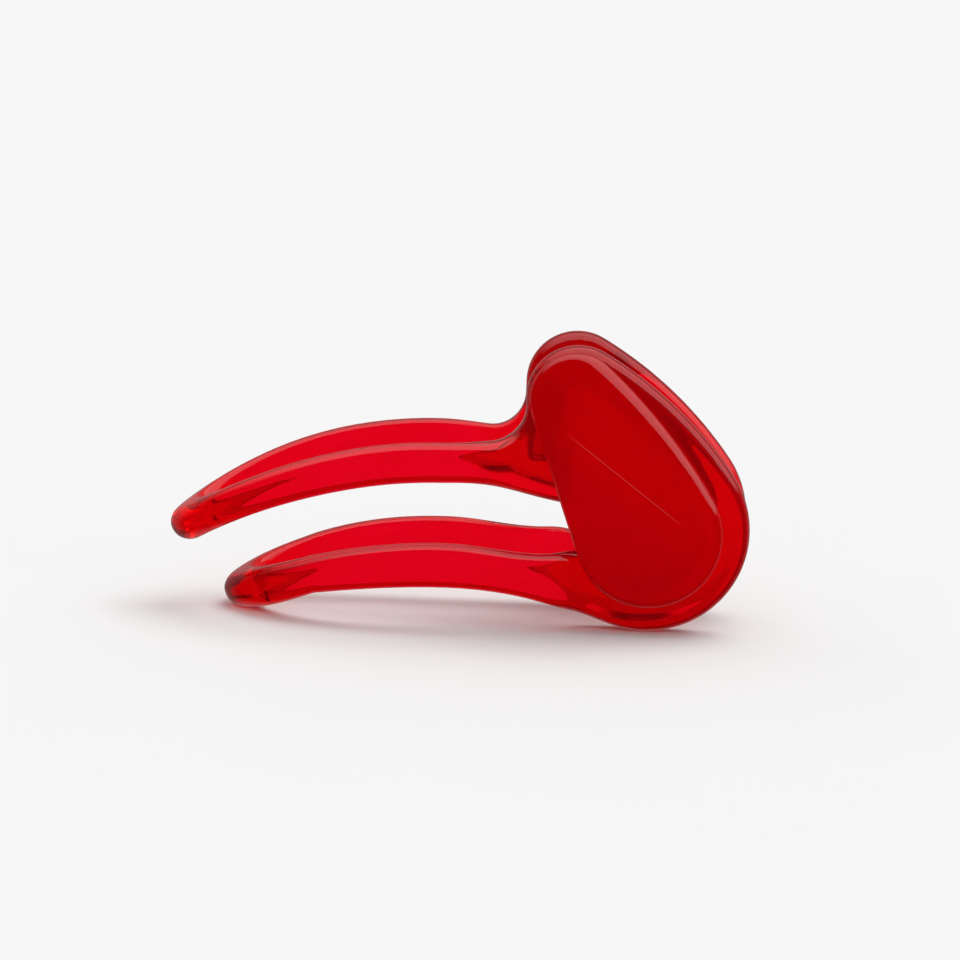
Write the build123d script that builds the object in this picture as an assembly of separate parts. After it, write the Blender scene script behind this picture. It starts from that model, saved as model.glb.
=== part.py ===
from build123d import *
import os
from math import cos, sin, radians, sqrt, hypot

# One-colour transparent spring clip: two arched prongs that leave the same side of an egg-shaped head.
# Frame: millimetres, +X from the prong tips to the head, +Y across the clip, +Z up.
# Origin: centre of the bounding box in X and Y, on the surface that the clip stands on.

# Layers across the clip, as distances from the middle plane.
HEAD_INNER = 4.6            # inner face of each bow and root
HEAD_OUTER = 9.0            # outer face of each bow and root, where the pad is bonded
PAD_OUTER = 11.4            # outer face of each pad
PRONG_HALF_WIDTH = 11.9     # widest place of each prong, outside
RIB_THICKNESS = 2.6         # thickness of a rib across the clip

# Noses, seen from above: each is half an ellipse.
NOSE_REACH = 30.0           # distance from the nose's tip to where the prong is full width
NOSE_SOLID = 6.1            # solid stretch ahead of the slot
UPPER_JOG_START = -1.0      # where the upper ribs start to turn in towards the head
UPPER_JOG_END = 8.6         # where their outsides have reached the bows' layer, clear of the pads
UPPER_SLOT_END = 10.4       # where the upper slot has narrowed to the gap inside the head
SLIDE_GAP = 0.15            # gap between the upper roots and the pads that they slide past
LOWER_JOG_START = 14.0      # where the lower ribs start to turn in to the bows' layer
LOWER_JOG_END = 23.0        # where they have reached it
BEYOND = 60.0               # past the end of the clip, for cutting shapes

# Directions in the side view, in degrees from +X.
DOWN = 270.0
DOWN_RIGHT = -45.0
UP_LEFT = 135.0

# Upper prong, from the side.
UPPER_TIP_X = -47.85
UPPER_TIP_Z = 13.7
UPPER_TOP_RADIUS = 70.0
UPPER_TOP_APEX = (-2.85, 30.9)
UPPER_UNDER_RADIUS = 76.0
UPPER_UNDER_APEX = (-1.85, 24.3)
UPPER_CAP_X = -45.0         # where the nose's round front meets the two arches
FILLET_RADIUS = 5.9         # concave fillet from the prong up to the head
ROOT_CORNER = (19.3, 21.0)  # lower right corner of the upper root, behind the pad
ROOT_CORNER_RADIUS = 1.6
ROOT_UNDER_SLOPE = 0.12     # rise per length of the underside as it leaves the root corner

# Lower prong, from the side.
LOWER_TIP_X = -38.75
LOWER_TIP_Z = 3.6
LOWER_TOP_RADIUS = 74.0
LOWER_TOP_APEX = (-1.85, 14.1)
LOWER_UNDER_RADIUS = 108.0
LOWER_UNDER_APEX = (-1.35, 6.7)
LOWER_CAP_X = -35.6
LOWER_FOOT = (-34.2, 0.0)   # where the nose touches the surface
LOWER_FOOT_END_X = -24.0    # where the foot has run out into the arch
FOOT_START_SLOPE = 0.21     # slope of the foot where it leaves the arch
FOOT_END_SLOPE = 0.12       # slope of the foot where it meets the nose
LOWER_SADDLE_START = (13.5, 13.0)   # low stretch of the top, ahead of the head
LOWER_SADDLE_END = (18.3, 13.2)
LOWER_UNDER_BEND = (14.0, 4.9)      # underside on its way from the arch to the belly
INNER_START_ANGLE = 215.0   # where the top runs into the inside of the head, from +X about HEAD_LOW
INNER_START_LEAN = 35.0     # its direction there, away from straight down
BELLY_START_ANGLE = 253.0   # where the underside runs into the head's round belly
BELLY_START_LEAN = 17.0     # its direction there, away from level

# Head, from the side: an egg made of two circles, a shoulder arc and a tangent line.
HEAD_TOP = (18.65, 38.9)
HEAD_TOP_RADIUS = 8.5
HEAD_LOW = (31.0, 16.9)
HEAD_LOW_RADIUS = 16.9
HEAD_SHOULDER_RADIUS = 68.0
BOW_WIDTH_TOP = 6.5         # radial width of the bow at the top
BOW_WIDTH_LOW = 7.0         # radial width of the bow at the bottom
BOW_END_ANGLE = -50.0       # where the bow ends in the lower root, from +X about HEAD_LOW

# Pad, from the side.
PAD_TOP = (18.2, 39.0)
PAD_TOP_RADIUS = 7.6
PAD_LOW = (31.2, 16.8)
PAD_LOW_RADIUS = 12.2
PAD_SHOULDER_RADIUS = 95.0
PAD_BEVEL = 1.2

# Spacer block between the two upper roots.
SPACER_LEFT = 10.8
SPACER_RIGHT = 16.4
SPACER_BOTTOM = 27.4
SPACER_TOP = 41.0
SPACER_ROUND = 1.5


def arch_height(apex, radius, x):
    """Height of a circular arch at x, from its highest point and radius."""
    return apex[1] - radius + sqrt(radius**2 - (x - apex[0])**2)


def arch(apex, radius, x_start, x_end):
    """Arc of a circular arch between two places along X."""
    middle = (x_start + x_end) / 2
    points = [(x, arch_height(apex, radius, x)) for x in (x_start, middle, x_end)]
    return ThreePointArc(*points)


def on_circle(centre, radius, angle):
    """Point on a circle at an angle in degrees from +X."""
    return (centre[0] + radius * cos(radians(angle)), centre[1] + radius * sin(radians(angle)))


def shoulder_centre(top, top_radius, low, low_radius, shoulder_radius):
    """Centre of the arc that encloses both circles of an egg and touches them on the right."""
    reach_top = shoulder_radius - top_radius
    reach_low = shoulder_radius - low_radius
    dx = low[0] - top[0]
    dz = low[1] - top[1]
    span = hypot(dx, dz)
    along = (span**2 + reach_top**2 - reach_low**2) / (2 * span)
    across = sqrt(reach_top**2 - along**2)
    return (
        top[0] + along * dx / span + across * dz / span,
        top[1] + along * dz / span - across * dx / span,
    )


def touch_point(shoulder, centre, radius):
    """Point where the shoulder arc touches one of the egg's circles."""
    dx = centre[0] - shoulder[0]
    dz = centre[1] - shoulder[1]
    reach = hypot(dx, dz)
    return (centre[0] + radius * dx / reach, centre[1] + radius * dz / reach)


def left_touch_points(top, top_radius, low, low_radius):
    """Ends of the straight line that touches both circles of an egg on the left."""
    dx = low[0] - top[0]
    dz = low[1] - top[1]
    span = hypot(dx, dz)
    lean = (low_radius - top_radius) / span
    level = sqrt(1 - lean**2)
    ux = dx / span
    uz = dz / span
    normal = (-lean * ux + level * uz, -lean * uz - level * ux)
    return (
        (top[0] + top_radius * normal[0], top[1] + top_radius * normal[1]),
        (low[0] + low_radius * normal[0], low[1] + low_radius * normal[1]),
    )


def mid_on_circle(centre, radius, first, last, towards):
    """Point halfway round a circle between two of its points, on the side of a direction."""
    mx = (first[0] + last[0]) / 2 - centre[0]
    mz = (first[1] + last[1]) / 2 - centre[1]
    size = hypot(mx, mz)
    side = 1.0 if mx * towards[0] + mz * towards[1] > 0 else -1.0
    return (centre[0] + side * radius * mx / size, centre[1] + side * radius * mz / size)


def egg_face(top, top_radius, low, low_radius, shoulder_radius):
    """Egg outline in the XZ plane as a face."""
    shoulder = shoulder_centre(top, top_radius, low, low_radius, shoulder_radius)
    right_top = touch_point(shoulder, top, top_radius)
    right_low = touch_point(shoulder, low, low_radius)
    left_top, left_low = left_touch_points(top, top_radius, low, low_radius)
    top_mid = mid_on_circle(top, top_radius, left_top, right_top, (0, 1))
    low_mid = mid_on_circle(low, low_radius, left_low, right_low, (0, -1))
    shoulder_mid = mid_on_circle(shoulder, shoulder_radius, right_top, right_low, (1, 0))
    edges = [
        ThreePointArc(left_top, top_mid, right_top),
        ThreePointArc(right_top, shoulder_mid, right_low),
        ThreePointArc(right_low, low_mid, left_low),
        Line(left_low, left_top),
    ]
    return make_face(edges)


def side_slab(face, near, far):
    """Extrude a side-view face (drawn as X, Z) between two places along Y."""
    placed = Plane.XZ.offset(-near) * face
    return extrude(placed, amount=-(far - near))


def plan_slab(face):
    """Extrude a plan-view face through the whole height."""
    return extrude(face, amount=BEYOND)


def plan_half(tip_x, full_x, half_width, jog_start, jog_end, head_half, end_x):
    """Half of a plan outline, mirrored into a whole face: an elliptical nose, a run and a jog inwards."""
    edges = [
        EllipticalCenterArc((full_x, 0), full_x - tip_x, half_width, start_angle=90, arc_size=90),
        Line((full_x, half_width), (jog_start, half_width)),
        Spline((jog_start, half_width), (jog_end, head_half), tangents=[(1, 0), (1, 0)]),
        Line((jog_end, head_half), (end_x, head_half)),
        Line((end_x, head_half), (end_x, 0)),
        Line((end_x, 0), (tip_x, 0)),
    ]
    half = make_face(edges)
    return half + mirror(half, Plane.XZ)


def loop_plan(tip_x, jog_start, jog_end, slot_jog_end, head_half):
    """Plan of one prong: a closed nose and two ribs that turn in to the head's layer."""
    full_x = tip_x + NOSE_REACH
    slot_half = PRONG_HALF_WIDTH - RIB_THICKNESS
    outer = plan_half(tip_x, full_x, PRONG_HALF_WIDTH, jog_start, jog_end, head_half, BEYOND)
    slot = plan_half(
        tip_x + NOSE_SOLID, full_x, slot_half, jog_start, slot_jog_end, HEAD_INNER, 2 * BEYOND,
    )
    return outer - slot


def upper_side():
    """Side view of the upper prong with its root, up to the middle of the head's top."""
    top_cap = (UPPER_CAP_X, arch_height(UPPER_TOP_APEX, UPPER_TOP_RADIUS, UPPER_CAP_X))
    under_cap = (UPPER_CAP_X, arch_height(UPPER_UNDER_APEX, UPPER_UNDER_RADIUS, UPPER_CAP_X))
    head_left = HEAD_TOP[0] - HEAD_TOP_RADIUS
    fillet_centre = (head_left - FILLET_RADIUS, UPPER_TOP_APEX[1] + FILLET_RADIUS)
    fillet_start = (fillet_centre[0], UPPER_TOP_APEX[1])
    fillet_end = (head_left, fillet_centre[1])
    head_side = (head_left, HEAD_TOP[1])
    head_peak = (HEAD_TOP[0], HEAD_TOP[1] + HEAD_TOP_RADIUS)
    inner_radius = HEAD_TOP_RADIUS - BOW_WIDTH_TOP
    inner_peak = (HEAD_TOP[0], HEAD_TOP[1] + inner_radius)
    inner_side = (HEAD_TOP[0] - inner_radius, HEAD_TOP[1])
    corner_top = (ROOT_CORNER[0], ROOT_CORNER[1] + ROOT_CORNER_RADIUS)
    corner_low = (ROOT_CORNER[0] - ROOT_CORNER_RADIUS, ROOT_CORNER[1])
    corner_centre = (corner_low[0], corner_top[1])
    edges = [
        ThreePointArc(under_cap, (UPPER_TIP_X, UPPER_TIP_Z), top_cap),
        arch(UPPER_TOP_APEX, UPPER_TOP_RADIUS, UPPER_CAP_X, UPPER_TOP_APEX[0]),
        Line(UPPER_TOP_APEX, fillet_start),
        ThreePointArc(fillet_start, on_circle(fillet_centre, FILLET_RADIUS, DOWN_RIGHT), fillet_end),
        Line(fillet_end, head_side),
        ThreePointArc(head_side, on_circle(HEAD_TOP, HEAD_TOP_RADIUS, UP_LEFT), head_peak),
        Line(head_peak, inner_peak),
        ThreePointArc(inner_peak, on_circle(HEAD_TOP, inner_radius, UP_LEFT), inner_side),
        Spline(inner_side, corner_top, tangents=[(0, -1), (0, -1)]),
        ThreePointArc(corner_top, on_circle(corner_centre, ROOT_CORNER_RADIUS, DOWN_RIGHT), corner_low),
        Spline(corner_low, UPPER_UNDER_APEX, tangents=[(-1, ROOT_UNDER_SLOPE), (-1, 0)]),
        arch(UPPER_UNDER_APEX, UPPER_UNDER_RADIUS, UPPER_UNDER_APEX[0], UPPER_CAP_X),
    ]
    return make_face(edges)


def lower_side():
    """Side view of the lower prong with the bottom of the head."""
    top_cap = (LOWER_CAP_X, arch_height(LOWER_TOP_APEX, LOWER_TOP_RADIUS, LOWER_CAP_X))
    inner_radius = HEAD_LOW_RADIUS - BOW_WIDTH_LOW
    inner_start = on_circle(HEAD_LOW, inner_radius, INNER_START_ANGLE)
    inner_end = on_circle(HEAD_LOW, inner_radius, BOW_END_ANGLE)
    outer_end = on_circle(HEAD_LOW, HEAD_LOW_RADIUS, BOW_END_ANGLE)
    belly_start = on_circle(HEAD_LOW, HEAD_LOW_RADIUS, BELLY_START_ANGLE)
    foot_end = (LOWER_FOOT_END_X, arch_height(LOWER_UNDER_APEX, LOWER_UNDER_RADIUS, LOWER_FOOT_END_X))
    inner_lean = radians(INNER_START_LEAN)
    belly_lean = radians(BELLY_START_LEAN)
    edges = [
        ThreePointArc(LOWER_FOOT, (LOWER_TIP_X, LOWER_TIP_Z), top_cap),
        arch(LOWER_TOP_APEX, LOWER_TOP_RADIUS, LOWER_CAP_X, LOWER_TOP_APEX[0]),
        Spline(
            LOWER_TOP_APEX, LOWER_SADDLE_START, LOWER_SADDLE_END, inner_start,
            tangents=[(1, 0), (sin(inner_lean), -cos(inner_lean))],
        ),
        ThreePointArc(inner_start, on_circle(HEAD_LOW, inner_radius, DOWN), inner_end),
        Line(inner_end, outer_end),
        ThreePointArc(outer_end, on_circle(HEAD_LOW, HEAD_LOW_RADIUS, DOWN), belly_start),
        Spline(
            belly_start, LOWER_UNDER_BEND, LOWER_UNDER_APEX,
            tangents=[(-cos(belly_lean), sin(belly_lean)), (-1, 0)],
        ),
        arch(LOWER_UNDER_APEX, LOWER_UNDER_RADIUS, LOWER_UNDER_APEX[0], LOWER_FOOT_END_X),
        Spline(foot_end, LOWER_FOOT, tangents=[(-1, -FOOT_START_SLOPE), (-1, -FOOT_END_SLOPE)]),
    ]
    return make_face(edges)


def bow_side():
    """Side view of a bow: the ring from the head's top round the right to the lower root."""
    outer = egg_face(HEAD_TOP, HEAD_TOP_RADIUS, HEAD_LOW, HEAD_LOW_RADIUS, HEAD_SHOULDER_RADIUS)
    inner = egg_face(
        HEAD_TOP, HEAD_TOP_RADIUS - BOW_WIDTH_TOP,
        HEAD_LOW, HEAD_LOW_RADIUS - BOW_WIDTH_LOW,
        HEAD_SHOULDER_RADIUS - BOW_WIDTH_TOP,
    )
    reach = 2 * BEYOND
    cut = on_circle(HEAD_LOW, reach, BOW_END_ANGLE)
    keep = make_face(Polyline(
        HEAD_LOW, cut, (reach, reach), (HEAD_TOP[0], reach), (HEAD_TOP[0], HEAD_TOP[1]), close=True,
    ))
    return (outer - inner) & keep


def make_upper_prong():
    loop = loop_plan(
        UPPER_TIP_X, UPPER_JOG_START, UPPER_JOG_END, UPPER_SLOT_END, HEAD_OUTER - SLIDE_GAP,
    )
    return plan_slab(loop) & side_slab(upper_side(), -BEYOND, BEYOND)


def make_lower_prong(pads):
    loop = loop_plan(LOWER_TIP_X, LOWER_JOG_START, LOWER_JOG_END, LOWER_JOG_END, HEAD_OUTER)
    return (plan_slab(loop) & side_slab(lower_side(), -BEYOND, BEYOND)) - pads


def make_bow():
    return side_slab(bow_side(), -HEAD_OUTER, -HEAD_INNER)


def make_pad():
    pad = side_slab(
        egg_face(PAD_TOP, PAD_TOP_RADIUS, PAD_LOW, PAD_LOW_RADIUS, PAD_SHOULDER_RADIUS),
        -PAD_OUTER, -HEAD_OUTER,
    )
    outer_edges = pad.faces().sort_by(Axis.Y)[0].edges()
    return chamfer(outer_edges, PAD_BEVEL)


def make_spacer():
    width = SPACER_RIGHT - SPACER_LEFT
    height = SPACER_TOP - SPACER_BOTTOM
    centre = (SPACER_LEFT + width / 2, 0, SPACER_BOTTOM + height / 2)
    block = Pos(*centre) * Box(width, 2 * HEAD_INNER, height)
    return fillet(block.edges().filter_by(Axis.Y), SPACER_ROUND)


def main():
    os.makedirs("parts", exist_ok=True)
    near_bow = make_bow()
    near_pad = make_pad()
    far_pad = mirror(near_pad, Plane.XZ)
    nodes = {
        "upper_prong": make_upper_prong(),
        "lower_prong": make_lower_prong([near_pad, far_pad]),
        "near_bow": near_bow,
        "far_bow": mirror(near_bow, Plane.XZ),
        "near_pad": near_pad,
        "far_pad": far_pad,
        "head_spacer": make_spacer(),
    }
    for name, solid in nodes.items():
        export_step(solid, f"parts/{name}.step")


main()
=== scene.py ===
import math

import bmesh
import bpy
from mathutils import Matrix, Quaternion, Vector


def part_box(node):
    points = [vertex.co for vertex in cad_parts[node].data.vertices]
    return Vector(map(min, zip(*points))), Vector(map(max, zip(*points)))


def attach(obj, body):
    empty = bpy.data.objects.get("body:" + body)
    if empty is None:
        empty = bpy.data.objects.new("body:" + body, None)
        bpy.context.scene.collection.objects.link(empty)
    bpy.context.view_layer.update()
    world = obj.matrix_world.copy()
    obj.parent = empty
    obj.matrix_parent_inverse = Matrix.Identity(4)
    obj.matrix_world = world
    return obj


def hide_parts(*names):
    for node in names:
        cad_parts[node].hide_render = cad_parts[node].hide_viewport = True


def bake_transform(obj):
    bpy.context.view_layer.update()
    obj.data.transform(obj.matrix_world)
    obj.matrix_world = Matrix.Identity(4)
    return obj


# Looks of the one-colour transparent spring clip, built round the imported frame.
# Shapes are worked out in millimetres in the frame's own axes: +X to the head, +Y across, +Z up.

MM = 0.001

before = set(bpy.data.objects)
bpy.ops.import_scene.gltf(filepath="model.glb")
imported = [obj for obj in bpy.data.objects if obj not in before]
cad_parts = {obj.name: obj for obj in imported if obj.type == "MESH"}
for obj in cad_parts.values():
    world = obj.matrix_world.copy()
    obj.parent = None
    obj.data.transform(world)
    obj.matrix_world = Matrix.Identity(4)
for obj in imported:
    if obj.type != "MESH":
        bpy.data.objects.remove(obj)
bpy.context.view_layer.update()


def node_box(name):
    """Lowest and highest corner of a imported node, in millimetres."""
    low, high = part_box(name)
    return Vector(low) / MM, Vector(high) / MM


UPPER_LOW, UPPER_HIGH = node_box("upper_prong")
LOWER_LOW, _ = node_box("lower_prong")
BOW_LOW, BOW_HIGH = node_box("far_bow")
PAD_LOW_CORNER, PAD_HIGH_CORNER = node_box("far_pad")
SPACER_LOW, SPACER_HIGH = node_box("head_spacer")

# Layers across the clip, as distances from the middle plane.
PRONG_OUTER = UPPER_HIGH.y
RIB_THICKNESS = 2.6
PRONG_INNER = PRONG_OUTER - RIB_THICKNESS
HEAD_INNER = BOW_LOW.y
HEAD_OUTER = BOW_HIGH.y
PAD_OUTER = PAD_HIGH_CORNER.y
SLIDE_GAP = 0.15

# Noses in plan: two ellipses with one centre.
NOSE_REACH = 30.0
NOSE_SOLID = 6.1
UPPER_JOG_START = -5.0
UPPER_JOG_END = 8.6
UPPER_SLOT_END = 10.4
LOWER_JOG_START = 14.0
LOWER_JOG_END = 23.0

# Head, from the side: an egg of two circles, a shoulder arc and a straight left side.
HEAD_TOP_RADIUS = 8.5
HEAD_LOW_RADIUS = 16.9
HEAD_SHOULDER_RADIUS = 68.0
HEAD_TOP = (18.65, BOW_HIGH.z - HEAD_TOP_RADIUS)
HEAD_LOW = (BOW_HIGH.x - HEAD_LOW_RADIUS, HEAD_LOW_RADIUS)
BOW_WIDTH_TOP = 6.5
BOW_WIDTH_LOW = 7.0
FILLET_RADIUS = 5.9
FILLET_TURN_START = -38
FILLET_TURN_END = -52
ROOT_CORNER = (19.3, 21.0)
ROOT_CORNER_RADIUS = 1.6
ROOT_UNDER_WAY = (-1, 0.12)
ROOT_UNDER_SHARE = 0.45     # how much of the upper root's underside lies opposite its fillet
INNER_FALL_SHARE = 0.3      # how much of the bore's left side lies opposite the straight above the fillet

# Lower root, from the side: the underside bends down to the belly, the top is a saddle, then the bore.
UNDER_BEND = (14.0, 4.9)
UNDER_BEND_WAY = (1, -0.26)
BELLY_ANGLE = 253
BELLY_LEAN = 17
BELLY_SHARE = 0.3           # how much of the run to the belly lies opposite the saddle
BOTTOM_ANGLE = 275
SADDLE_START = (13.5, 13.0)
SADDLE_START_WAY = (1, 0.02)
SADDLE_END = (18.3, 13.2)
SADDLE_END_WAY = (1, -0.05)
BORE_START_ANGLE = 215
BORE_START_LEAN = 35
BORE_BOTTOM_ANGLE = 265

# Edge roundings of the frame's section.
RIB_ROUND = 1.0
RIB_OUTSIDE_ROUND = 1.9     # along the height; across, half the rib is all there is
BOW_OUTER_ROUND = 1.9
BOW_INNER_ROUND = 1.2

# Where the prongs' roundings turn into the bow's, as shares of the sections round the head.
BOW_BEGINS = 0.12
BOW_BEGINS_OVER = 0.16
BOW_ENDS = 0.86
BOW_ENDS_OVER = 0.12

CROWN = 0.15                # how far the outside faces swell between their edges
LARGEST_ROUND = 0.49        # of a section's width or height

SECTION_CORNER_STEPS = 8
SECTION_LONG_STEPS = 7
SECTION_SHORT_STEPS = 3


# ---------------------------------------------------------------- curves in the side view

def lerp(a, b, t):
    return a + (b - a) * t


def smooth(t):
    t = min(max(t, 0.0), 1.0)
    return t * t * (3 - 2 * t)


def ease(t):
    """Like smooth, but with no jump in curvature where it starts and stops."""
    t = min(max(t, 0.0), 1.0)
    return t**3 * (t * (6 * t - 15) + 10)


def arc_piece(centre, radius, start, end):
    """Arc from one angle to another, in degrees from +X, as a function of 0 to 1."""
    def at(t):
        angle = math.radians(lerp(start, end, t))
        return (centre[0] + radius * math.cos(angle), centre[1] + radius * math.sin(angle))
    return at


def line_piece(first, last):
    def at(t):
        return (lerp(first[0], last[0], t), lerp(first[1], last[1], t))
    return at


def cubic_shares(t):
    """Shares of the start, the start's direction, the end and the end's direction in a cubic."""
    return 2 * t**3 - 3 * t**2 + 1, t**3 - 2 * t**2 + t, 3 * t**2 - 2 * t**3, t**3 - t**2


def spline_piece(first, first_tangent, last, last_tangent):
    """Cubic from one point to another, with a direction at each end."""
    span = math.hypot(last[0] - first[0], last[1] - first[1])
    first_size = span / math.hypot(*first_tangent)
    last_size = span / math.hypot(*last_tangent)

    def at(t):
        a, b, c, d = cubic_shares(t)
        b *= first_size
        d *= last_size
        return tuple(
            a * first[i] + b * first_tangent[i] + c * last[i] + d * last_tangent[i] for i in (0, 1)
        )
    return at


def on_circle(centre, radius, angle):
    return (
        centre[0] + radius * math.cos(math.radians(angle)),
        centre[1] + radius * math.sin(math.radians(angle)),
    )


def shoulder_of(top, top_radius, low, low_radius, shoulder_radius):
    """Centre of the arc that encloses both circles of an egg and touches them on the right."""
    reach_top = shoulder_radius - top_radius
    reach_low = shoulder_radius - low_radius
    dx = low[0] - top[0]
    dz = low[1] - top[1]
    span = math.hypot(dx, dz)
    along = (span**2 + reach_top**2 - reach_low**2) / (2 * span)
    across = math.sqrt(reach_top**2 - along**2)
    return (
        top[0] + along * dx / span + across * dz / span,
        top[1] + along * dz / span - across * dx / span,
    )


def angle_of(centre, point):
    return math.degrees(math.atan2(point[1] - centre[1], point[0] - centre[0]))


# ---------------------------------------------------------------- prongs

class Prong:
    """One prong: a slab between two arches, cut to a loop in plan."""

    def __init__(self, tip_x, top, under, sign, overhang):
        self.tip_x = tip_x
        self.top = top
        self.under = under
        self.sign = sign            # +1 where the top is the outer rail, -1 where the underside is
        self.overhang = overhang    # how far the round nose reaches past the end of its middle

    def middle(self, x):
        return (self.top(x) + self.under(x)) / 2

    def slope(self, x):
        step = 0.05
        return math.atan2(self.middle(x + step) - self.middle(x - step), 2 * step)

    def rails(self, x, y, fullness=0.0):
        """Corner on the outer rail and corner on the inner rail over one place in plan."""
        lean = self.slope(x)
        half = (self.top(x) - self.under(x)) / 2 * lerp(math.cos(lean), 1.0, fullness)
        centre = Vector((x, y, self.middle(x)))
        rise = Vector((-math.sin(lean), 0, math.cos(lean))) * half * self.sign
        return centre + rise, centre - rise


def arch(apex, radius):
    def at(x):
        return apex[1] - radius + math.sqrt(radius**2 - (x - apex[0])**2)
    return at


def footed(under, foot, foot_end_x, start_slope, end_slope):
    """Underside that leaves its arch and runs down to the foot of the nose, and on past it."""
    reach = foot_end_x - foot[0]

    def at(x):
        if x >= foot_end_x:
            return under(x)
        if x <= foot[0]:
            return foot[1] + (x - foot[0]) * end_slope
        a, b, c, d = cubic_shares((foot_end_x - x) / reach)
        return a * under(foot_end_x) - b * reach * start_slope + c * foot[1] - d * reach * end_slope
    return at


UPPER_TOP_APEX = (-2.85, 30.9)
UPPER_TOP_RADIUS = 70.0
UPPER_UNDER_APEX = (-1.85, 24.3)
UPPER_UNDER_RADIUS = 76.0
UPPER_OVERHANG = 0.45
LOWER_TOP_APEX = (-1.85, 14.1)
LOWER_TOP_RADIUS = 74.0
LOWER_UNDER_APEX = (-1.35, 6.7)
LOWER_UNDER_RADIUS = 108.0
LOWER_OVERHANG = 0.25
LOWER_FOOT = (-34.2, 0.22)
LOWER_FOOT_END_X = -24.0
LOWER_FOOT_START_SLOPE = 0.42
LOWER_FOOT_END_SLOPE = 0.26

# Noses: how the sections crowd towards the tip, and how far round it stays full and round.
NOSE_CROWDING = 1.25
NOSE_FULL_REACH = 1.35
NOSE_OUTER_ROUND_SHARE = 0.96
NOSE_INNER_ROUND = 1.5
NOSE_SECTIONS = 46
RIB_SECTIONS = 16

upper = Prong(
    UPPER_LOW.x,
    arch(UPPER_TOP_APEX, UPPER_TOP_RADIUS),
    arch(UPPER_UNDER_APEX, UPPER_UNDER_RADIUS),
    1,
    UPPER_OVERHANG,
)
lower_under = footed(
    arch(LOWER_UNDER_APEX, LOWER_UNDER_RADIUS),
    LOWER_FOOT,
    LOWER_FOOT_END_X,
    LOWER_FOOT_START_SLOPE,
    LOWER_FOOT_END_SLOPE,
)
lower = Prong(
    LOWER_LOW.x, arch(LOWER_TOP_APEX, LOWER_TOP_RADIUS), lower_under, -1, LOWER_OVERHANG,
)


def ellipse_hit(point, direction, reach, half):
    """Where a ray from inside or outside meets an ellipse about the origin, nearest to its start."""
    a = (direction[0] / reach)**2 + (direction[1] / half)**2
    b = 2 * (point[0] * direction[0] / reach**2 + point[1] * direction[1] / half**2)
    c = (point[0] / reach)**2 + (point[1] / half)**2 - 1
    root = math.sqrt(b * b - 4 * a * c)
    first = (-b - root) / (2 * a)
    second = (-b + root) / (2 * a)
    t = first if abs(first) < abs(second) else second
    return (point[0] + direction[0] * t, point[1] + direction[1] * t)


def prong_stations(prong, end_x, nose_count, rib_count):
    """Sections of half a prong from the middle of its nose to end_x, as corners and roundings."""
    centre_x = prong.tip_x + NOSE_REACH
    outer_reach = NOSE_REACH - prong.overhang
    inner_reach = NOSE_REACH - NOSE_SOLID
    mid_reach = (outer_reach + inner_reach) / 2
    mid_half = (PRONG_OUTER + PRONG_INNER) / 2
    stations = []
    for i in range(nose_count + 1):
        angle = math.radians(90 * (i / nose_count)**NOSE_CROWDING)
        point = (-mid_reach * math.cos(angle), mid_half * math.sin(angle))
        normal = Vector((point[0] / mid_reach**2, point[1] / mid_half**2)).normalized()
        outer = ellipse_hit(point, normal, outer_reach, PRONG_OUTER)
        inner = ellipse_hit(point, -normal, inner_reach, PRONG_INNER)
        fullness = 1 - smooth(i / nose_count * NOSE_FULL_REACH)
        a, d = prong.rails(centre_x + outer[0], outer[1], fullness)
        b, c = prong.rails(centre_x + inner[0], inner[1], fullness)
        half_height = (a - d).length / 2
        outer_round = lerp(RIB_OUTSIDE_ROUND, half_height * NOSE_OUTER_ROUND_SHARE, fullness)
        inner_round = lerp(RIB_ROUND, NOSE_INNER_ROUND, fullness)
        stations.append(([a, b, c, d], [outer_round, inner_round, inner_round, outer_round]))
    for i in range(1, rib_count + 1):
        x = lerp(centre_x, end_x, i / rib_count)
        a, d = prong.rails(x, outer_layer(prong, x))
        b, c = prong.rails(x, inner_layer(prong, x))
        stations.append(([a, b, c, d], [RIB_OUTSIDE_ROUND, RIB_ROUND, RIB_ROUND, RIB_OUTSIDE_ROUND]))
    return stations


def outer_layer(prong, x):
    """Distance of the outside faces from the middle plane, along one jaw."""
    if prong is upper:
        share = ease((x - UPPER_JOG_START) / (UPPER_JOG_END - UPPER_JOG_START))
        return lerp(PRONG_OUTER, HEAD_OUTER - SLIDE_GAP, share)
    share = ease((x - LOWER_JOG_START) / (LOWER_JOG_END - LOWER_JOG_START))
    return lerp(PRONG_OUTER, HEAD_OUTER, share)


def inner_layer(prong, x):
    """Distance of the slot's faces from the middle plane, along one jaw."""
    if prong is upper:
        share = ease((x - UPPER_JOG_START) / (UPPER_SLOT_END - UPPER_JOG_START))
    else:
        share = ease((x - LOWER_JOG_START) / (LOWER_JOG_END - LOWER_JOG_START))
    return lerp(PRONG_INNER, HEAD_INNER, share)


# ---------------------------------------------------------------- head

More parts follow.
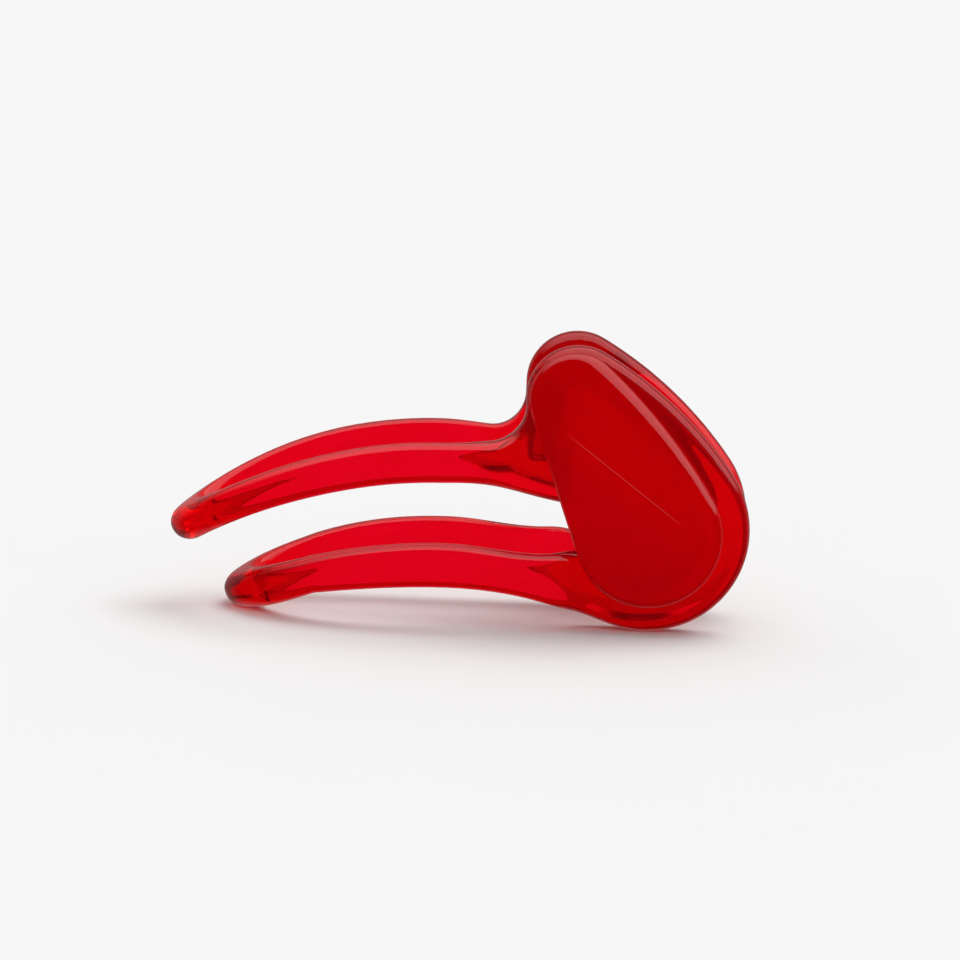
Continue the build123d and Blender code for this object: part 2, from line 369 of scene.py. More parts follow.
def head_stretches():
    """Stretches from the lower prong round the bow to the upper prong.

    Each is the outer rail, the inner rail and how many sections stand along it.
    """
    shoulder = shoulder_of(HEAD_TOP, HEAD_TOP_RADIUS, HEAD_LOW, HEAD_LOW_RADIUS, HEAD_SHOULDER_RADIUS)
    inner_top = HEAD_TOP_RADIUS - BOW_WIDTH_TOP
    inner_low = HEAD_LOW_RADIUS - BOW_WIDTH_LOW
    inner_shoulder_radius = HEAD_SHOULDER_RADIUS - BOW_WIDTH_TOP
    inner_shoulder = shoulder_of(HEAD_TOP, inner_top, HEAD_LOW, inner_low, inner_shoulder_radius)
    low_touch = angle_of(shoulder, HEAD_LOW)
    top_touch = angle_of(shoulder, HEAD_TOP)
    inner_low_touch = angle_of(inner_shoulder, HEAD_LOW)
    inner_top_touch = angle_of(inner_shoulder, HEAD_TOP)

    belly_lean = math.radians(BELLY_LEAN)
    bore_lean = math.radians(BORE_START_LEAN)
    belly = on_circle(HEAD_LOW, HEAD_LOW_RADIUS, BELLY_ANGLE)
    belly_run = spline_piece(
        UNDER_BEND, UNDER_BEND_WAY, belly, (math.cos(belly_lean), -math.sin(belly_lean)),
    )
    bore_start = on_circle(HEAD_LOW, inner_low, BORE_START_ANGLE)
    bore_way = (math.sin(bore_lean), -math.cos(bore_lean))

    head_left = HEAD_TOP[0] - HEAD_TOP_RADIUS
    fillet_centre = (head_left - FILLET_RADIUS, UPPER_TOP_APEX[1] + FILLET_RADIUS)
    fillet_end = (head_left, fillet_centre[1])
    inner_side = (HEAD_TOP[0] - inner_top, HEAD_TOP[1])
    corner_top = (ROOT_CORNER[0], ROOT_CORNER[1] + ROOT_CORNER_RADIUS)
    corner_low = (ROOT_CORNER[0] - ROOT_CORNER_RADIUS, ROOT_CORNER[1])
    corner_centre = (corner_low[0], corner_top[1])
    inner_fall = spline_piece(inner_side, (0, -1), corner_top, (0, -1))
    under_rise = spline_piece(corner_low, ROOT_UNDER_WAY, UPPER_UNDER_APEX, (-1, 0))

    def part(piece, start, end):
        return lambda t: piece(lerp(start, end, t))

    return [
        (spline_piece(LOWER_UNDER_APEX, (1, 0), UNDER_BEND, UNDER_BEND_WAY),
         spline_piece(LOWER_TOP_APEX, (1, 0), SADDLE_START, SADDLE_START_WAY), 22),
        (part(belly_run, 0, BELLY_SHARE),
         spline_piece(SADDLE_START, SADDLE_START_WAY, SADDLE_END, SADDLE_END_WAY), 8),
        (part(belly_run, BELLY_SHARE, 1),
         spline_piece(SADDLE_END, SADDLE_END_WAY, bore_start, bore_way), 12),
        (arc_piece(HEAD_LOW, HEAD_LOW_RADIUS, BELLY_ANGLE, BOTTOM_ANGLE),
         arc_piece(HEAD_LOW, inner_low, BORE_START_ANGLE, BORE_BOTTOM_ANGLE), 12),
        (arc_piece(HEAD_LOW, HEAD_LOW_RADIUS, BOTTOM_ANGLE, 360 + low_touch),
         arc_piece(HEAD_LOW, inner_low, BORE_BOTTOM_ANGLE, 360 + inner_low_touch), 46),
        (arc_piece(shoulder, HEAD_SHOULDER_RADIUS, low_touch, top_touch),
         arc_piece(inner_shoulder, inner_shoulder_radius, inner_low_touch, inner_top_touch), 26),
        (arc_piece(HEAD_TOP, HEAD_TOP_RADIUS, top_touch, 180),
         arc_piece(HEAD_TOP, inner_top, inner_top_touch, 180), 30),
        (line_piece((head_left, HEAD_TOP[1]), fillet_end),
         part(inner_fall, 0, INNER_FALL_SHARE), 6),
        (arc_piece(fillet_centre, FILLET_RADIUS, 0, FILLET_TURN_START),
         part(inner_fall, INNER_FALL_SHARE, 1), 12),
        (arc_piece(fillet_centre, FILLET_RADIUS, FILLET_TURN_START, FILLET_TURN_END),
         arc_piece(corner_centre, ROOT_CORNER_RADIUS, 0, -90), 8),
        (arc_piece(fillet_centre, FILLET_RADIUS, FILLET_TURN_END, -90),
         part(under_rise, 0, ROOT_UNDER_SHARE), 12),
        (line_piece((fillet_centre[0], UPPER_TOP_APEX[1]), UPPER_TOP_APEX),
         part(under_rise, ROOT_UNDER_SHARE, 1), 12),
    ]


def head_stations():
    """Sections of the head's half, without the two that the prongs already have."""
    stations = []
    stretches = head_stretches()
    total = sum(count for _, _, count in stretches)
    passed = 0
    for outer_at, inner_at, count in stretches:
        for i in range(count):
            share = (passed + i) / total
            jaw = lower if share < 0.5 else upper
            outer = outer_at(i / count)
            inner = inner_at(i / count)
            corners = [
                Vector((outer[0], outer_layer(jaw, outer[0]), outer[1])),
                Vector((outer[0], inner_layer(jaw, outer[0]), outer[1])),
                Vector((inner[0], inner_layer(jaw, inner[0]), inner[1])),
                Vector((inner[0], outer_layer(jaw, inner[0]), inner[1])),
            ]
            ringness = smooth((share - BOW_BEGINS) / BOW_BEGINS_OVER)
            ringness *= smooth((BOW_ENDS - share) / BOW_ENDS_OVER)
            rim = lerp(RIB_ROUND, BOW_OUTER_ROUND, ringness)
            bore = lerp(RIB_ROUND, BOW_INNER_ROUND, ringness)
            rim_outside = lerp(RIB_OUTSIDE_ROUND, BOW_OUTER_ROUND, ringness)
            bore_outside = lerp(RIB_OUTSIDE_ROUND, BOW_INNER_ROUND, ringness)
            stations.append((corners, [rim_outside, rim, bore, bore_outside]))
        passed += count
    return stations[1:]


# ---------------------------------------------------------------- mesh of the whole frame

def section_points(corners, rounds):
    """Rounded section between four corners, as a closed list of points."""
    a, b, c, d = corners
    width = ((b - a).length + (c - d).length) / 2
    height = ((d - a).length + (c - b).length) / 2
    places = [(0, 0, 180), (1, 0, 270), (1, 1, 0), (0, 1, 90)]

    def on_corner(index, turned):
        """Place on one corner's rounding, some degrees along it, as shares of the width and height."""
        p, q, start = places[index]
        rp = min(rounds[index], width * LARGEST_ROUND) / width
        rq = min(rounds[index], height * LARGEST_ROUND) / height
        cp = rp if p == 0 else 1 - rp
        cq = rq if q == 0 else 1 - rq
        angle = math.radians(start + turned)
        return (cp + rp * math.cos(angle), cq + rq * math.sin(angle))

    flat = []
    for index in range(4):
        for i in range(SECTION_CORNER_STEPS + 1):
            flat.append(on_corner(index, 90 * i / SECTION_CORNER_STEPS))
        first = flat[-1]
        last = on_corner((index + 1) % 4, 0)
        steps = SECTION_SHORT_STEPS if index % 2 == 0 else SECTION_LONG_STEPS
        for i in range(1, steps):
            t = i / steps
            flat.append((lerp(first[0], last[0], t), lerp(first[1], last[1], t)))
    points = []
    for p, q in flat:
        sunk = lerp(p, 1, (1 - p) * CROWN / width * (2 * q - 1)**2)
        points.append(
            a * (1 - sunk) * (1 - q) + b * sunk * (1 - q) + c * sunk * q + d * (1 - sunk) * q
        )
    return points


def mesh_object(name, verts, faces):
    """Smooth mesh object from millimetre points, with its faces turned outwards."""
    mesh = bpy.data.meshes.new(name)
    mesh.from_pydata([tuple(v * MM for v in point) for point in verts], [], faces)
    built = bmesh.new()
    built.from_mesh(mesh)
    bmesh.ops.recalc_face_normals(built, faces=built.faces)
    built.to_mesh(mesh)
    built.free()
    mesh.shade_smooth()
    obj = bpy.data.objects.new(name, mesh)
    bpy.context.scene.collection.objects.link(obj)
    return obj


def build_frame():
    """The clip's frame as one closed band: near half from nose to nose, then its mirror image back."""
    lower_part = prong_stations(lower, LOWER_TOP_APEX[0], NOSE_SECTIONS, RIB_SECTIONS)
    upper_part = prong_stations(upper, UPPER_TOP_APEX[0], NOSE_SECTIONS, RIB_SECTIONS)
    half = lower_part + head_stations() + upper_part[::-1]
    loop = [section_points(corners, rounds) for corners, rounds in half]
    near = [[Vector((p.x, -p.y, p.z)) for p in ring] for ring in loop]
    far = loop[1:-1][::-1]
    rings = near + far
    count = len(rings[0])
    verts = [point for ring in rings for point in ring]
    faces = []
    for i in range(len(rings)):
        j = (i + 1) % len(rings)
        for k in range(count):
            m = (k + 1) % count
            faces.append((i * count + k, i * count + m, j * count + m, j * count + k))
    return mesh_object("clip_frame", verts, faces)


# ---------------------------------------------------------------- pads

PAD_TOP_RADIUS = 7.6
PAD_LOW_RADIUS = 12.2
PAD_SHOULDER_RADIUS = 95.0
PAD_TOP = (PAD_LOW_CORNER.x + PAD_TOP_RADIUS, PAD_HIGH_CORNER.z - PAD_TOP_RADIUS)
PAD_LOW = (PAD_HIGH_CORNER.x - PAD_LOW_RADIUS, PAD_LOW_CORNER.z + PAD_LOW_RADIUS)
PAD_FOOT_INSET = 0.3        # how far the edge against the bow is drawn in
PAD_FOOT_HEIGHT = 0.12
FACE_RINGS = (1.08, 1.5)    # flat rings inside the bevel, in bevel widths from the edge
BEVEL_STEPS = 10
BEVEL_BULGE = 0.35          # 0 is a flat chamfer, 1 a quarter round
BEVEL_PEAK = 52             # degrees from +X in the side view, where the bevel is largest
BEVEL_PEAK_POWER = 9
BEVEL_WIDTH = 0.6
BEVEL_WIDTH_AT_PEAK = 1.0
BEVEL_WIDTH_AT_BOTTOM = 0.5
BEVEL_DEPTH = 0.75
BEVEL_DEPTH_AT_PEAK = 0.95
BEVEL_DEPTH_AT_BOTTOM = 0.2
BOND_GAP = 0.04
EGG_STEPS = (40, 36, 52, 30)


def egg_outline(inset):
    """Pad outline moved inwards by a distance, with the same number of points at every distance."""
    top_radius = PAD_TOP_RADIUS - inset
    low_radius = PAD_LOW_RADIUS - inset
    shoulder_radius = PAD_SHOULDER_RADIUS - inset
    shoulder = shoulder_of(PAD_TOP, top_radius, PAD_LOW, low_radius, shoulder_radius)
    top_touch = angle_of(shoulder, PAD_TOP)
    low_touch = angle_of(shoulder, PAD_LOW)
    dx = PAD_LOW[0] - PAD_TOP[0]
    dz = PAD_LOW[1] - PAD_TOP[1]
    span = math.hypot(dx, dz)
    lean = (low_radius - top_radius) / span
    level = math.sqrt(1 - lean**2)
    normal = (-lean * dx / span + level * dz / span, -lean * dz / span - level * dx / span)
    left = math.degrees(math.atan2(normal[1], normal[0])) % 360
    pieces = [
        arc_piece(PAD_TOP, top_radius, left, top_touch),
        arc_piece(shoulder, shoulder_radius, top_touch, low_touch),
        arc_piece(PAD_LOW, low_radius, low_touch, left - 360),
        line_piece(on_circle(PAD_LOW, low_radius, left), on_circle(PAD_TOP, top_radius, left)),
    ]
    points = []
    for piece, count in zip(pieces, EGG_STEPS):
        points += [piece(i / count) for i in range(count)]
    return points


def bevel_size(angle):
    """How far the bevel reaches in from the pad's edge, and how deep: large at the upper right only."""
    peak = max(0.0, math.cos(angle - math.radians(BEVEL_PEAK)))**BEVEL_PEAK_POWER
    bottom = max(0.0, -math.sin(angle))**2
    width = BEVEL_WIDTH + BEVEL_WIDTH_AT_PEAK * peak + BEVEL_WIDTH_AT_BOTTOM * bottom
    depth = BEVEL_DEPTH + BEVEL_DEPTH_AT_PEAK * peak + BEVEL_DEPTH_AT_BOTTOM * bottom
    return width, depth


def build_pad(name, side):
    """Flat cheek with a soft bevel, set against the outside of the bow that carries it."""
    base = HEAD_OUTER + BOND_GAP
    outline = [Vector((x, z)) for x, z in egg_outline(0)]
    count = len(outline)
    normals = []
    for k in range(count):
        along = outline[(k + 1) % count] - outline[k - 1]
        normals.append(Vector((-along.y, along.x)).normalized())
    sizes = [bevel_size(math.atan2(normal.y, normal.x)) for normal in normals]
    profile = []
    for i in range(BEVEL_STEPS + 1):
        t = i / BEVEL_STEPS
        angle = math.radians(90 * t)
        share = lerp(t, 1 - math.cos(angle), BEVEL_BULGE)
        drop = lerp(1 - t, 1 - math.sin(angle), BEVEL_BULGE)
        profile.append((share, drop))
    profile += [(share, 0.0) for share in FACE_RINGS]
    rows = [[(PAD_FOOT_INSET, base)] * count, [(0.0, base + PAD_FOOT_HEIGHT)] * count]
    for share, drop in profile:
        rows.append([(share * width, PAD_OUTER - drop * depth) for width, depth in sizes])
    verts = []
    faces = []
    for row in rows:
        for place, normal, (inset, y) in zip(outline, normals, row):
            inner = place - normal * inset
            verts.append(Vector((inner.x, side * y, inner.y)))
    for i in range(len(rows) - 1):
        for k in range(count):
            m = (k + 1) % count
            faces.append((i * count + k, i * count + m, (i + 1) * count + m, (i + 1) * count + k))
    faces.append(tuple(range(count)))
    faces.append(tuple(reversed(range((len(rows) - 1) * count, len(rows) * count))))
    return mesh_object(name, verts, faces)


# ---------------------------------------------------------------- spacer

SPACER_ROUND = 1.2


def build_spacer():
    """Rounded block that ties the two upper roots together inside the head."""
    low = Vector(SPACER_LOW)
    high = Vector(SPACER_HIGH)
    built = bmesh.new()
    bmesh.ops.create_cube(built, size=1.0)
    for vert in built.verts:
        for i in range(3):
            vert.co[i] = (low[i] if vert.co[i] < 0 else high[i]) * MM
    bmesh.ops.bevel(
        built, geom=list(built.edges), offset=SPACER_ROUND * MM, segments=5, profile=0.5, affect="EDGES",
    )
    mesh = bpy.data.meshes.new("head_block")
    built.to_mesh(mesh)
    built.free()
    mesh.shade_smooth()
    obj = bpy.data.objects.new("head_block", mesh)
    bpy.context.scene.collection.objects.link(obj)
    return obj


# ---------------------------------------------------------------- materials

PLASTIC_IOR = 1.49
CLEAR_TRANSMISSION = 0.95
CLEAR_TINTS = [(0.91, 0.011, 0.065), (0.87, 0.006, 0.045)]
DEEP_TRANSMISSION = 0.64
DEEP_TINTS = [(0.98, 0.0, 0.005), (0.94, 0.0, 0.004)]
TINT_SCALE = 60
TINT_SPREAD = (0.3, 0.7)    # where the noise gives the first tint and where the second

DEPTH_COLOUR = (0.988, 0.0, 0.4, 1)
DEPTH_DENSITY = 1000

# Polish, as roughness, with the waves, scratches and haze that a hand leaves in it.
POLISHED = (0.015, 0.05)
WAVE_SCALE = 90
WAVE_STRENGTH = 0.12
WAVE_HEIGHT = 0.0006
SCRATCH_SCALE = 420
SCRATCH_SQUEEZE = (1.0, 9.0, 14.0)
SCRATCH_TURN = (0.2, 0.9, 0.4)
SCRATCH_STRENGTH = 0.03
SCRATCH_HEIGHT = 0.00003
HAZE_SCALE = 240
HAZE_SPREAD = (0.35, 0.7)

MATT = (0.35, 0.5)
MATT_SCALE = 800
MATT_LAYER = (0.02, 0.1)    # how far out from its back a pad turns from matt to polished

# Fine straight line across the face of a pad, in the side view.
FACE_LINE_START = (16.4, 33.9)
FACE_LINE_END = (37.1, 18.5)
FACE_LINE_EDGE = (0.02, 0.11)       # half widths between which it fades
FACE_LINE_FADE_IN = (-0.5, 5.0)     # along it, from its start
FACE_LINE_FADE_OUT = (-4.0, 0.5)    # along it, from its end
FACE_LINE_TINT = (1.0, 0.2, 0.22)
FACE_LINE_SHARE = 0.6
BELOW_LINE_FADE = (-6.0, 0.05)      # across it: where the tint below is full, and where it ends
BELOW_LINE_TINT = (0.90, 0.0, 0.008)
BELOW_LINE_SHARE = 0.8


def new_material(name):
    material = bpy.data.materials.new(name)
    material.use_nodes = True
    tree = material.node_tree
    tree.nodes.clear()
    shader = tree.nodes.new("ShaderNodeBsdfPrincipled")
    output = tree.nodes.new("ShaderNodeOutputMaterial")
    tree.links.new(shader.outputs["BSDF"], output.inputs["Surface"])
    return material, tree, shader, output


def noise(tree, coords, scale, detail, roughness=0.5):
    node = tree.nodes.new("ShaderNodeTexNoise")
    node.inputs["Scale"].default_value = scale
    node.inputs["Detail"].default_value = detail
    node.inputs["Roughness"].default_value = roughness
    tree.links.new(coords, node.inputs["Vector"])
    return node.outputs["Fac"]


def map_range(tree, value, from_low, from_high, to_low, to_high):
    node = tree.nodes.new("ShaderNodeMapRange")
    node.inputs["From Min"].default_value = from_low
    node.inputs["From Max"].default_value = from_high
    node.inputs["To Min"].default_value = to_low
    node.inputs["To Max"].default_value = to_high
    tree.links.new(value, node.inputs["Value"])
    return node.outputs["Result"]


def ramp(tree, value, stops):
    node = tree.nodes.new("ShaderNodeValToRGB")
    elements = node.color_ramp.elements
    while len(elements) < len(stops):
        elements.new(0.5)
    for element, (place, colour) in zip(elements, stops):
        element.position = place
        element.color = (*colour, 1)
    tree.links.new(value, node.inputs["Fac"])
    return node.outputs["Color"]


def math_node(tree, operation, first, second=None, third=None):
    node = tree.nodes.new("ShaderNodeMath")
    node.operation = operation
    for index, value in enumerate((first, second, third)):
        if value is None:
            continue
        if isinstance(value, (int, float)):
            node.inputs[index].default_value = value
        else:
            tree.links.new(value, node.inputs[index])
    return node.outputs[0]


def soft_step(tree, value, low, high):
    node = tree.nodes.new("ShaderNodeMapRange")
    node.interpolation_type = "SMOOTHSTEP"
    node.inputs["From Min"].default_value = low
    node.inputs["From Max"].default_value = high
    tree.links.new(value, node.inputs["Value"])
    return node.outputs["Result"]


def separate(tree, vector):
    node = tree.nodes.new("ShaderNodeSeparateXYZ")
    tree.links.new(vector, node.inputs[0])
    return node.outputs


def mix_colour(tree, share, first, second):
    """Colour that goes from a linked one to a fixed one."""
    node = tree.nodes.new("ShaderNodeMix")
    node.data_type = "RGBA"
    tree.links.new(share, node.inputs["Factor"])
    tree.links.new(first, node.inputs[6])
    node.inputs[7].default_value = (*second, 1)
    return node.outputs[2]


def bump(tree, height, strength, distance, below=None):
    node = tree.nodes.new("ShaderNodeBump")
    node.inputs["Strength"].default_value = strength
    node.inputs["Distance"].default_value = distance
    tree.links.new(height, node.inputs["Height"])
    if below is not None:
        tree.links.new(below, node.inputs["Normal"])
    return node.outputs["Normal"]


def polished_surface(tree, shader, coords):
    """Hand-polished plastic: slow waves, a fine haze and hairline scratches."""
    waves = noise(tree, coords, WAVE_SCALE, 1)
    hairs = tree.nodes.new("ShaderNodeMapping")
    hairs.inputs["Scale"].default_value = SCRATCH_SQUEEZE
    hairs.inputs["Rotation"].default_value = SCRATCH_TURN
    tree.links.new(coords, hairs.inputs["Vector"])
    scratches = noise(tree, hairs.outputs["Vector"], SCRATCH_SCALE, 3, 0.6)
    slow = bump(tree, waves, WAVE_STRENGTH, WAVE_HEIGHT)
    normal = bump(tree, scratches, SCRATCH_STRENGTH, SCRATCH_HEIGHT, slow)
    tree.links.new(normal, shader.inputs["Normal"])
    haze = noise(tree, coords, HAZE_SCALE, 4, 0.6)
    tree.links.new(map_range(tree, haze, *HAZE_SPREAD, *POLISHED), shader.inputs["Roughness"])


def red_depth(tree, output):
    """Colour in the depth of the plastic: green and blue go within a millimetre or two, red slowly."""
    absorption = tree.nodes.new("ShaderNodeVolumeAbsorption")
    absorption.inputs["Color"].default_value = DEPTH_COLOUR
    absorption.inputs["Density"].default_value = DEPTH_DENSITY
    tree.links.new(absorption.outputs["Volume"], output.inputs["Volume"])


def red_plastic(name, transmission, tints):
    """Transparent red plastic: a tint that drifts a little, and colour in the depth."""
    material, tree, shader, output = new_material(name)
    coords = tree.nodes.new("ShaderNodeTexCoord").outputs["Object"]
    shader.inputs["Transmission Weight"].default_value = transmission
    shader.inputs["IOR"].default_value = PLASTIC_IOR
    tint = ramp(tree, noise(tree, coords, TINT_SCALE, 3), list(zip(TINT_SPREAD, tints)))
    tree.links.new(tint, shader.inputs["Base Color"])
    red_depth(tree, output)
    return material, tree, shader, coords


def clear_red():
    """Polished transparent red of the prongs and bows."""
    material, tree, shader, coords = red_plastic("clear_red", CLEAR_TRANSMISSION, CLEAR_TINTS)
    polished_surface(tree, shader, coords)
    return material


def matt_back(tree, shader, coords):
    """Turns a pad matt where it is bonded to its bow, so that it blurs what is behind."""
    layer = math_node(tree, "ABSOLUTE", separate(tree, coords)[1])
    back = (HEAD_OUTER + BOND_GAP) * MM
    polished = soft_step(tree, layer, back + MATT_LAYER[0] * MM, back + MATT_LAYER[1] * MM)
    haze = shader.inputs["Roughness"].links[0].from_socket
    frost = map_range(tree, noise(tree, coords, MATT_SCALE, 4, 0.6), *HAZE_SPREAD, *MATT)
    matt = math_node(tree, "MULTIPLY", frost, math_node(tree, "SUBTRACT", 1.0, polished))
    roughness = math_node(tree, "MULTIPLY_ADD", haze, polished, matt)
    tree.links.new(roughness, shader.inputs["Roughness"])


def face_line(tree, coords):
    """Share of the fine line across a pad's face, and share of the darker tint below it."""
    x, _, z = separate(tree, coords)
    run = (FACE_LINE_END[0] - FACE_LINE_START[0], FACE_LINE_END[1] - FACE_LINE_START[1])
    length = math.hypot(*run)
    way = (run[0] / length, run[1] / length)
    x_off = math_node(tree, "SUBTRACT", x, FACE_LINE_START[0] * MM)
    z_off = math_node(tree, "SUBTRACT", z, FACE_LINE_START[1] * MM)
    along = math_node(tree, "MULTIPLY", z_off, way[1])
    along = math_node(tree, "MULTIPLY_ADD", x_off, way[0], along)
    across = math_node(tree, "MULTIPLY", x_off, -way[1])
    across = math_node(tree, "MULTIPLY_ADD", z_off, way[0], across)
    off_line = math_node(tree, "ABSOLUTE", across)
    faded = soft_step(tree, off_line, FACE_LINE_EDGE[0] * MM, FACE_LINE_EDGE[1] * MM)
    begun = soft_step(tree, along, FACE_LINE_FADE_IN[0] * MM, FACE_LINE_FADE_IN[1] * MM)
    fade_out = [(length + fade) * MM for fade in FACE_LINE_FADE_OUT]
    ended = soft_step(tree, along, *fade_out)
    line = math_node(tree, "SUBTRACT", 1.0, faded)
    line = math_node(tree, "MULTIPLY", line, math_node(tree, "SUBTRACT", begun, ended))
    above = soft_step(tree, across, BELOW_LINE_FADE[0] * MM, BELOW_LINE_FADE[1] * MM)
    return line, math_node(tree, "SUBTRACT", 1.0, above)


def deep_red():
    """Denser red of the pads: a polished face crossed by a fine straight line, and a matt back."""
    material, tree, shader, coords = red_plastic("deep_red", DEEP_TRANSMISSION, DEEP_TINTS)
    polished_surface(tree, shader, coords)
    matt_back(tree, shader, coords)
    line, below = face_line(tree, coords)
    tint = shader.inputs["Base Color"].links[0].from_socket
    below = math_node(tree, "MULTIPLY", below, BELOW_LINE_SHARE)
    tint = mix_colour(tree, below, tint, BELOW_LINE_TINT)
    line = math_node(tree, "MULTIPLY", line, FACE_LINE_SHARE)
    tint = mix_colour(tree, line, tint, FACE_LINE_TINT)
    tree.links.new(tint, shader.inputs["Base Color"])
    return material


# ---------------------------------------------------------------- floor, light and camera

FLOOR_WHITE = 0.9216        # level of the backdrop, and of the lit floor
FLOOR_SIZE = 12             # metres
FLOOR_TONES = (0.83, 0.835)
FLOOR_SCALE = 30
# Softboxes overhead, on a plane one unit up: shift to the right, shift behind, then where each edge
# starts and stops to fade, to the sides and to front and back.
KEY_BOX = (0.5, 0.3, 0.35, 0.7, 0.25, 0.5)
PANEL = (1.1, -0.35, 1.4, 3.2, 0.75, 1.1)
LEAST_HEIGHT = 0.05         # keeps that plane finite near the horizon
OVERHEAD_FADE = (0.1, 0.3)  # how high a direction points before the softboxes count
BACK_FADE = (-0.1, 0.5)     # how far behind it points before the pale back does
LIGHT_LEVELS = (4.11, 0.35, 0.42, 0.49)     # key box, panel, back and all round, as light
REFLECTION_LEVELS = (0.3, 1.9, 0.35, 0.01)  # the same, as reflections show them

CAMERA_TARGET = Vector((0.0031, 0, 0.0228))     # metres
CAMERA_ELEVATION = 12.0
CAMERA_ROLL = 2.4
CAMERA_WIDTH = 0.1594       # metres across the picture at the target
CAMERA_LENS = 180
CAMERA_SENSOR = 36
CAMERA_CLIP = (0.05, 50)    # metres

MOST_BOUNCES = 24           # clear plastic turns black where light runs out of bounces
MOST_GLASS_BOUNCES = 20


def build_floor(size):
    bpy.ops.mesh.primitive_grid_add(x_subdivisions=2, y_subdivisions=2, size=size)
    floor = bpy.context.object
    floor.name = "floor"
    material, tree, shader, _ = new_material("paper")
    coords = tree.nodes.new("ShaderNodeTexCoord").outputs["Object"]
    stops = [(place, (tone,) * 3) for place, tone in zip(TINT_SPREAD, FLOOR_TONES)]
    tone = ramp(tree, noise(tree, coords, FLOOR_SCALE, 2), stops)
    tree.links.new(tone, shader.inputs["Base Color"])
    shader.inputs["Roughness"].default_value = 1.0
    shader.inputs["Specular IOR Level"].default_value = 0.0
    floor.data.materials.append(material)
    floor.visible_glossy = False
    return floor


def softbox(tree, u, v, above, right, behind, side_start, side_stop, end_start, end_stop):
    """Share of a softbox in each direction: 1 inside, 0 outside, with faded edges."""
    aside = math_node(tree, "ABSOLUTE", math_node(tree, "SUBTRACT", u, right))
    along = math_node(tree, "ABSOLUTE", math_node(tree, "SUBTRACT", v, behind))
    sides = math_node(tree, "SUBTRACT", 1.0, soft_step(tree, aside, side_start, side_stop))
    ends = math_node(tree, "SUBTRACT", 1.0, soft_step(tree, along, end_start, end_stop))
    return math_node(tree, "MULTIPLY", math_node(tree, "MULTIPLY", sides, ends), above)


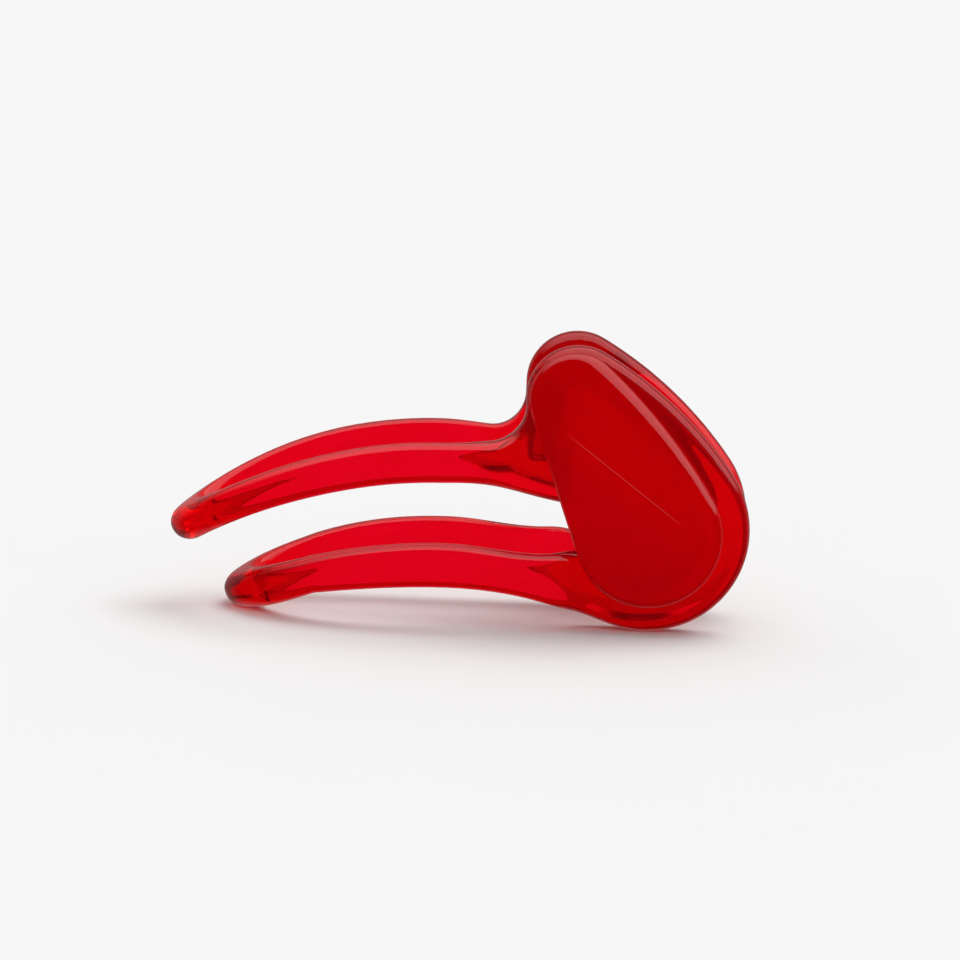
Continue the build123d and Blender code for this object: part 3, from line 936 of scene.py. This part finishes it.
def build_light():
    """Studio all round the clip: a key box and a wide panel overhead, a pale back, a little all round.

    Reflections see the same studio with the front dark, as black flags beside the lens make it.
    """
    world = bpy.data.worlds.new("studio")
    bpy.context.scene.world = world
    world.use_nodes = True
    tree = world.node_tree
    tree.nodes.clear()
    output = tree.nodes.new("ShaderNodeOutputWorld")
    x, y, z = separate(tree, tree.nodes.new("ShaderNodeTexCoord").outputs["Generated"])
    height = math_node(tree, "MAXIMUM", z, LEAST_HEIGHT)
    u = math_node(tree, "DIVIDE", x, height)
    v = math_node(tree, "DIVIDE", y, height)
    above = soft_step(tree, z, *OVERHEAD_FADE)
    parts = [
        softbox(tree, u, v, above, *KEY_BOX),
        softbox(tree, u, v, above, *PANEL),
        soft_step(tree, y, *BACK_FADE),
    ]
    backgrounds = []
    for levels in (LIGHT_LEVELS, REFLECTION_LEVELS):
        total = levels[-1]
        for part, level in zip(parts, levels):
            total = math_node(tree, "MULTIPLY_ADD", part, level, total)
        background = tree.nodes.new("ShaderNodeBackground")
        tree.links.new(total, background.inputs["Strength"])
        backgrounds.append(background)
    backdrop = tree.nodes.new("ShaderNodeBackground")
    backdrop.inputs["Color"].default_value = (FLOOR_WHITE, FLOOR_WHITE, FLOOR_WHITE, 1)
    rays = tree.nodes.new("ShaderNodeLightPath")
    seen = tree.nodes.new("ShaderNodeMixShader")
    outside = math_node(tree, "SUBTRACT", 1.0, rays.outputs["Is Transmission Ray"])
    reflected = math_node(tree, "MULTIPLY", rays.outputs["Is Glossy Ray"], outside)
    tree.links.new(reflected, seen.inputs["Fac"])
    tree.links.new(backgrounds[0].outputs[0], seen.inputs[1])
    tree.links.new(backgrounds[1].outputs[0], seen.inputs[2])
    mix = tree.nodes.new("ShaderNodeMixShader")
    tree.links.new(rays.outputs["Is Camera Ray"], mix.inputs["Fac"])
    tree.links.new(seen.outputs[0], mix.inputs[1])
    tree.links.new(backdrop.outputs[0], mix.inputs[2])
    tree.links.new(mix.outputs[0], output.inputs["Surface"])


def build_camera(target, elevation, roll, width, lens):
    """Long-lens camera that looks along +Y and down, turned a little about its own axis."""
    data = bpy.data.cameras.new("camera")
    data.lens = lens
    data.sensor_width = CAMERA_SENSOR
    camera = bpy.data.objects.new("camera", data)
    bpy.context.scene.collection.objects.link(camera)
    lift = math.radians(elevation)
    back = Vector((0, -math.cos(lift), math.sin(lift)))
    camera.location = target + back * (width * lens / data.sensor_width)
    camera.rotation_mode = "QUATERNION"
    turn = (-back).to_track_quat("-Z", "Y")
    camera.rotation_quaternion = turn @ Quaternion((0, 0, 1), math.radians(roll))
    data.clip_start, data.clip_end = CAMERA_CLIP
    bpy.context.scene.camera = camera


# ---------------------------------------------------------------- assembly

build_camera(CAMERA_TARGET, CAMERA_ELEVATION, CAMERA_ROLL, CAMERA_WIDTH, CAMERA_LENS)
build_light()
build_floor(FLOOR_SIZE)
bpy.context.scene.view_settings.view_transform = "Standard"
bpy.context.scene.cycles.max_bounces = MOST_BOUNCES
bpy.context.scene.cycles.glossy_bounces = MOST_GLASS_BOUNCES
bpy.context.scene.cycles.transmission_bounces = MOST_GLASS_BOUNCES

red = clear_red()
deep = deep_red()

clip = build_frame()
clip.data.materials.append(red)
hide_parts("upper_prong", "lower_prong", "near_bow", "far_bow")
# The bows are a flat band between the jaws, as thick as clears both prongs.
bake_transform(clip)

for pad_name, node_name, pad_side in (("near_cheek", "near_pad", -1), ("far_cheek", "far_pad", 1)):
    pad = build_pad(pad_name, pad_side)
    pad.data.materials.append(deep)
    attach(pad, "lower_jaw")
    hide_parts(node_name)

spacer = build_spacer()
spacer.data.materials.append(red)
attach(spacer, "upper_jaw")
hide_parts("head_spacer")
